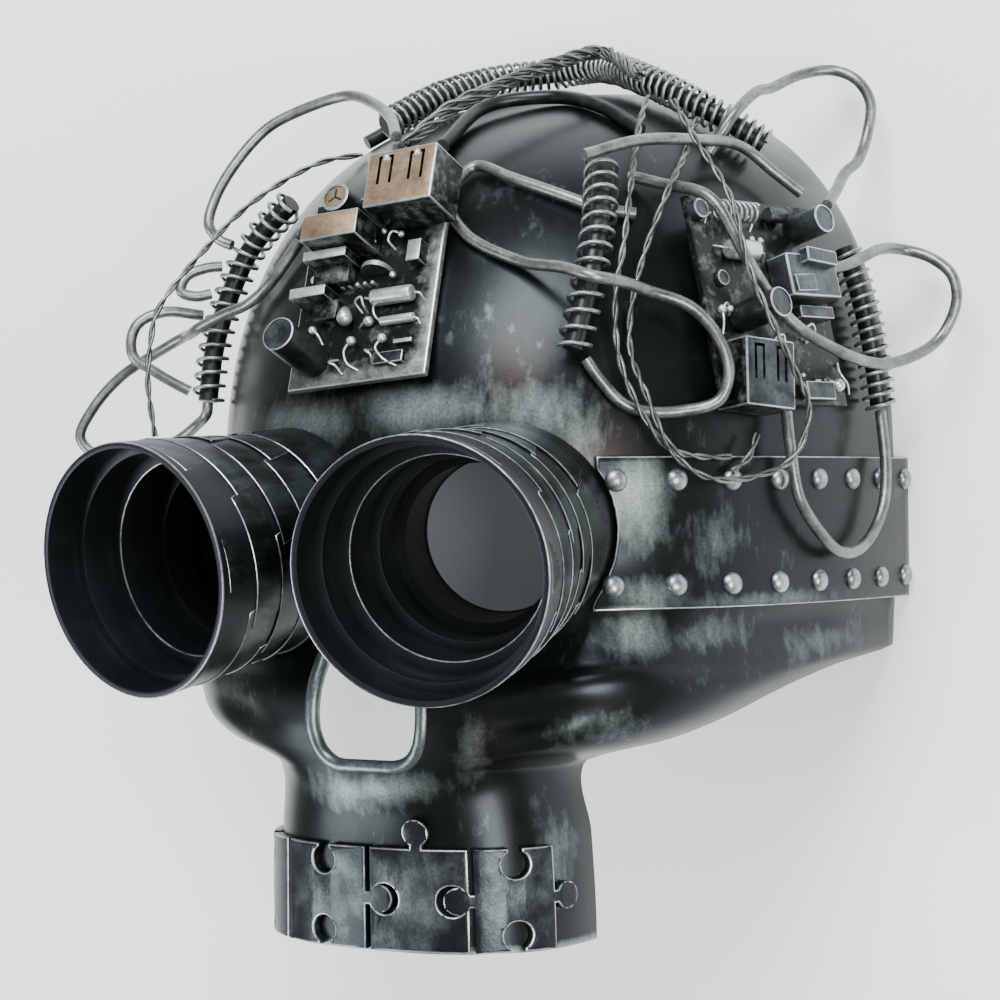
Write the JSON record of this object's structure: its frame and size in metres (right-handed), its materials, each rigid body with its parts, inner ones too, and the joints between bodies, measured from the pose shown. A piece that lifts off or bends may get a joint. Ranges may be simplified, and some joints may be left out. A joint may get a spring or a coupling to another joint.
{
  "type": "skull mask",
  "caption": "Rigid skull mask with long stepped goggle barrels, riveted side bands, a jigsaw-plate jaw, and circuit boards, coil springs and cables over the forehead.",
  "frame": {"origin": "middle of the wall's edge at the crown, on the plane of the rear rim, where the mask rests lying face up", "axes": "+X to the wearer's left, -Y from the crown towards the jaw, +Z out of the face"},
  "size_m": [0.2132, 0.2199, 0.1643],
  "materials": {
    "black_metal": "glossy black, dry-brushed silver on raised places",
    "gunmetal": "satin dark grey, edges rubbed to silver",
    "aged_silver": "aged silver",
    "bronze": "dark bronze",
    "black_plastic": "black sleeve",
    "dark_lens": "smooth dark grey"
  },
  "bodies": {
    "root": {"skull_shell": "black_metal", "barrel_right": "black_metal", "barrel_left": "black_metal", "lens_right": "dark_lens", "lens_left": "dark_lens", "band_right": "black_metal", "band_left": "black_metal", "jigsaw_far_right": "gunmetal", "jigsaw_right": "gunmetal", "jigsaw_centre": "gunmetal", "jigsaw_left": "gunmetal", "board_forehead": "black_metal", "socket_forehead": "bronze", "connector_forehead": "bronze", "capacitor_forehead_top": "gunmetal", "capacitor_forehead_low": "black_plastic", "board_temple": "black_metal", "connector_temple": "gunmetal", "capacitor_temple_top": "gunmetal", "capacitor_temple_low": "black_plastic", "coil_temple": "aged_silver", "socket_temple": "gunmetal", "spring_forehead": "gunmetal", "spring_right": "gunmetal", "spring_left": "gunmetal", "spring_crown": "gunmetal", "cable_forehead": "aged_silver", "cable_cut_end": "aged_silver", "cable_left_loop": "aged_silver", "cable_crown_left": "aged_silver", "cable_left_u": "aged_silver", "cable_right_top": "aged_silver", "cable_right_small": "aged_silver", "cable_right_tiny": "aged_silver", "cable_right_low": "aged_silver", "cable_crown_dark": "black_plastic", "cable_crown_rear": "black_plastic", "wire_right": "aged_silver", "wire_left_loop": "aged_silver", "wire_left_inner": "aged_silver", "wire_socket": "aged_silver", "wire_crown": "aged_silver"}
  },
  "joints": []
}
